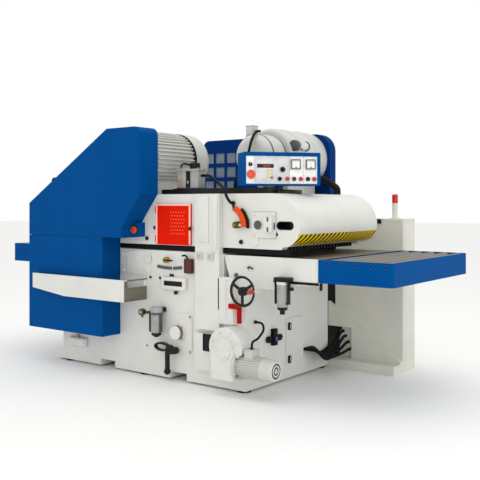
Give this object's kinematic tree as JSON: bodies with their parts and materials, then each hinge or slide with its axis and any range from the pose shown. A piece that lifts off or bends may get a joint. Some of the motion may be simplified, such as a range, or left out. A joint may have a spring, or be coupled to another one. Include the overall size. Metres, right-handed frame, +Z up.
{
  "type": "double-sided planer",
  "caption": "Industrial double-sided wood planer: hollow base, lifting head with cutterhead, roller infeed table, belt guards, swivel control box and electrical cabinet.",
  "frame": {"origin": "on the floor under the middle of the machine's box", "axes": "+X along the feed towards the infeed table, +Y away from the operator's side with the tray and handwheel, +Z up"},
  "size_m": [3.37, 1.6, 1.734],
  "materials": {
    "white_paint": "satin",
    "blue_paint": "satin",
    "cabinet_paint": "satin",
    "motor_paint": "satin",
    "red_paint": "satin",
    "orange_paint": "satin",
    "ground_steel": "brushed",
    "roller_steel": "brushed",
    "black_rubber": "matte",
    "black_plastic": "matte",
    "grey_plastic": "matte",
    "red_plastic": "gloss",
    "dark_plastic": "gloss"
  },
  "bodies": {
    "base": {"base_frame": "white_paint", "levelling_pads": "black_rubber", "centre_bed": "white_paint", "outfeed_table": "blue_paint", "lower_belt_guard": "blue_paint", "side_tray": "white_paint", "lower_columns": "white_paint", "access_cover": "white_paint", "air_filter": "grey_plastic", "side_instruments": "grey_plastic", "feed_gear_case": "white_paint", "feed_motor": "motor_paint", "electrical_cabinet": "cabinet_paint", "beacon_lens": "red_plastic", "cabinet_bracket": "white_paint", "conduits": "black_rubber"},
    "infeed_unit": {"infeed_bed": "white_paint", "infeed_table": "blue_paint", "bed_air_filter": "grey_plastic"},
    "head": {"head_side_near": "white_paint", "head_side_far": "white_paint", "head_top": "white_paint", "infeed_hood": "white_paint", "upper_motor": "motor_paint", "upper_belts": "black_rubber", "upper_belt_guard": "blue_paint", "rear_motor": "motor_paint", "rear_guard": "blue_paint", "control_post": "black_plastic", "lubricator": "grey_plastic", "head_hoses": "black_rubber"},
    "bed_lock_lever": {"bed_lock_lever": "red_paint"},
    "brake_lever": {"brake_lever": "orange_paint"},
    "cabinet_door": {"cabinet_door": "cabinet_paint"},
    "clamp_handle": {"clamp_handle": "black_plastic"},
    "control_box": {"control_box": "blue_paint"},
    "end_hatch": {"end_hatch": "white_paint"},
    "guard_stop_button": {"guard_stop_button": "red_plastic"},
    "handwheel": {"handwheel": "black_plastic"},
    "infeed_roller": {"infeed_roller": "ground_steel"},
    "kickback_fingers": {"kickback_fingers": "ground_steel"},
    "lift_screw_far": {"lift_screw_far": "ground_steel"},
    "lift_screw_near": {"lift_screw_near": "ground_steel"},
    "lower_cutterhead": {"lower_cutterhead": "ground_steel"},
    "panel_stop_button": {"panel_stop_button": "red_plastic"},
    "push_button_1": {"push_button_1": "dark_plastic"},
    "push_button_2": {"push_button_2": "red_plastic"},
    "push_button_3": {"push_button_3": "dark_plastic"},
    "push_button_4": {"push_button_4": "red_plastic"},
    "push_button_5": {"push_button_5": "dark_plastic"},
    "push_button_6": {"push_button_6": "red_plastic"},
    "red_door": {"red_door": "red_paint"},
    "selector_knob": {"selector_knob": "dark_plastic"},
    "table_roller_1": {"table_roller_1": "roller_steel"},
    "table_roller_2": {"table_roller_2": "roller_steel"},
    "table_roller_3": {"table_roller_3": "roller_steel"},
    "table_roller_4": {"table_roller_4": "roller_steel"},
    "table_roller_5": {"table_roller_5": "roller_steel"},
    "upper_cutterhead": {"upper_cutterhead": "ground_steel"},
    "upper_rotor": {"upper_rotor": "ground_steel"}
  },
  "joints": [
    {"name": "head_lift", "type": "slide", "parent": "base", "child": "head", "axis": [0, 0, 1], "range_m": [0, 0.15]},
    {"name": "infeed_handwheel", "type": "hinge", "parent": "infeed_unit", "child": "handwheel", "pos_m": [0.737, -0.6, 0.662], "axis": [0, 1, 0], "range_deg": [0, 360]},
    {"name": "infeed_lift", "type": "slide", "parent": "base", "child": "infeed_unit", "axis": [0, 0, 1], "range_m": [0, 0.006]},
    {"name": "lower_cutterhead_spin", "type": "hinge", "parent": "base", "child": "lower_cutterhead", "pos_m": [-0.9, -0.07, 0.815], "axis": [0, 1, 0], "continuous": true},
    {"name": "lift_screw_near_turn", "type": "hinge", "parent": "base", "child": "lift_screw_near", "pos_m": [0.3885, -0.5955, 0.8], "axis": [0, 0, 1], "range_deg": [0, 1080]},
    {"name": "lift_screw_far_turn", "type": "hinge", "parent": "base", "child": "lift_screw_far", "pos_m": [0.3885, 0.4555, 0.8], "axis": [0, 0, 1], "range_deg": [0, 1080]},
    {"name": "clamp_handle_turn", "type": "hinge", "parent": "base", "child": "clamp_handle", "pos_m": [0.071, -0.62, 0.216], "axis": [0, 1, 0], "range_deg": [-45, 0]},
    {"name": "end_hatch_hinge", "type": "hinge", "parent": "base", "child": "end_hatch", "pos_m": [0.6804, 0.075, 0.262], "axis": [0, 0, 1], "range_deg": [0, 90]},
    {"name": "bed_lock_turn", "type": "hinge", "parent": "base", "child": "bed_lock_lever", "pos_m": [0.618, -0.6, 0.553], "axis": [0, 1, 0], "range_deg": [-40, 20]},
    {"name": "cabinet_door_hinge", "type": "hinge", "parent": "base", "child": "cabinet_door", "pos_m": [1.193, 0.8, 0.544], "axis": [0, 0, 1], "range_deg": [-110, 0]},
    {"name": "table_roller_1_spin", "type": "hinge", "parent": "infeed_unit", "child": "table_roller_1", "pos_m": [1.273, -0.035, 0.847], "axis": [0, 1, 0], "continuous": true},
    {"name": "table_roller_2_spin", "type": "hinge", "parent": "infeed_unit", "child": "table_roller_2", "pos_m": [1.365, -0.035, 0.847], "axis": [0, 1, 0], "continuous": true},
    {"name": "table_roller_3_spin", "type": "hinge", "parent": "infeed_unit", "child": "table_roller_3", "pos_m": [1.457, -0.035, 0.847], "axis": [0, 1, 0], "continuous": true},
    {"name": "table_roller_4_spin", "type": "hinge", "parent": "infeed_unit", "child": "table_roller_4", "pos_m": [1.549, -0.035, 0.847], "axis": [0, 1, 0], "continuous": true},
    {"name": "table_roller_5_spin", "type": "hinge", "parent": "infeed_unit", "child": "table_roller_5", "pos_m": [1.641, -0.035, 0.847], "axis": [0, 1, 0], "continuous": true},
    {"name": "upper_rotor_spin", "type": "hinge", "parent": "head", "child": "upper_rotor", "pos_m": [-0.29, -0.62, 1.512], "axis": [0, 1, 0], "continuous": true},
    {"name": "upper_cutterhead_spin", "type": "hinge", "parent": "head", "child": "upper_cutterhead", "pos_m": [-0.56, -0.07, 0.977], "axis": [0, 1, 0], "continuous": true},
    {"name": "red_door_hinge", "type": "hinge", "parent": "head", "child": "red_door", "pos_m": [-0.09, -0.589, 1.058], "axis": [0, 0, 1], "range_deg": [-95, 0]},
    {"name": "guard_stop_press", "type": "slide", "parent": "head", "child": "guard_stop_button", "axis": [0, 1, 0], "range_m": [0, 0.004], "stiffness_N_per_m": 600},
    {"name": "infeed_roller_spin", "type": "hinge", "parent": "head", "child": "infeed_roller", "pos_m": [0.74, -0.07, 0.963], "axis": [0, 1, 0], "continuous": true},
    {"name": "kickback_swing", "type": "hinge", "parent": "head", "child": "kickback_fingers", "pos_m": [0.905, -0.07, 1.01], "axis": [0, 1, 0], "range_deg": [0, 45]},
    {"name": "brake_lever_turn", "type": "hinge", "parent": "head", "child": "brake_lever", "pos_m": [0.621, -0.6, 1.064], "axis": [0, 1, 0], "range_deg": [-30, 30]},
    {"name": "control_box_swivel", "type": "hinge", "parent": "head", "child": "control_box", "pos_m": [0.79, -0.378, 1.4], "axis": [0, 0, 1], "range_deg": [-50, 20]},
    {"name": "push_button_1_press", "type": "slide", "parent": "control_box", "child": "push_button_1", "axis": [-0.766, 0.6428, 0], "range_m": [0, 0.004], "stiffness_N_per_m": 300},
    {"name": "push_button_2_press", "type": "slide", "parent": "control_box", "child": "push_button_2", "axis": [-0.766, 0.6428, 0], "range_m": [0, 0.004], "stiffness_N_per_m": 300},
    {"name": "push_button_3_press", "type": "slide", "parent": "control_box", "child": "push_button_3", "axis": [-0.766, 0.6428, 0], "range_m": [0, 0.004], "stiffness_N_per_m": 300},
    {"name": "push_button_4_press", "type": "slide", "parent": "control_box", "child": "push_button_4", "axis": [-0.766, 0.6428, 0], "range_m": [0, 0.004], "stiffness_N_per_m": 300},
    {"name": "push_button_5_press", "type": "slide", "parent": "control_box", "child": "push_button_5", "axis": [-0.766, 0.6428, 0], "range_m": [0, 0.004], "stiffness_N_per_m": 300},
    {"name": "push_button_6_press", "type": "slide", "parent": "control_box", "child": "push_button_6", "axis": [-0.766, 0.6428, 0], "range_m": [0, 0.004], "stiffness_N_per_m": 300},
    {"name": "panel_stop_press", "type": "slide", "parent": "control_box", "child": "panel_stop_button", "axis": [-0.766, 0.6428, 0], "range_m": [0, 0.004], "stiffness_N_per_m": 600},
    {"name": "selector_turn", "type": "hinge", "parent": "control_box", "child": "selector_knob", "pos_m": [0.84938, -0.42391, 1.4134], "axis": [0.766, -0.6428, 0], "range_deg": [-45, 45]}
  ],
  "couplings": [
    {"joint": "lift_screw_near_turn", "follows": "head_lift", "rad_per_m": 125.66},
    {"joint": "lift_screw_far_turn", "follows": "head_lift", "rad_per_m": 125.66},
    {"joint": "infeed_handwheel", "follows": "infeed_lift", "rad_per_m": 1047.2},
    {"joint": "upper_cutterhead_spin", "follows": "upper_rotor_spin", "ratio": 1.4286}
  ]
}
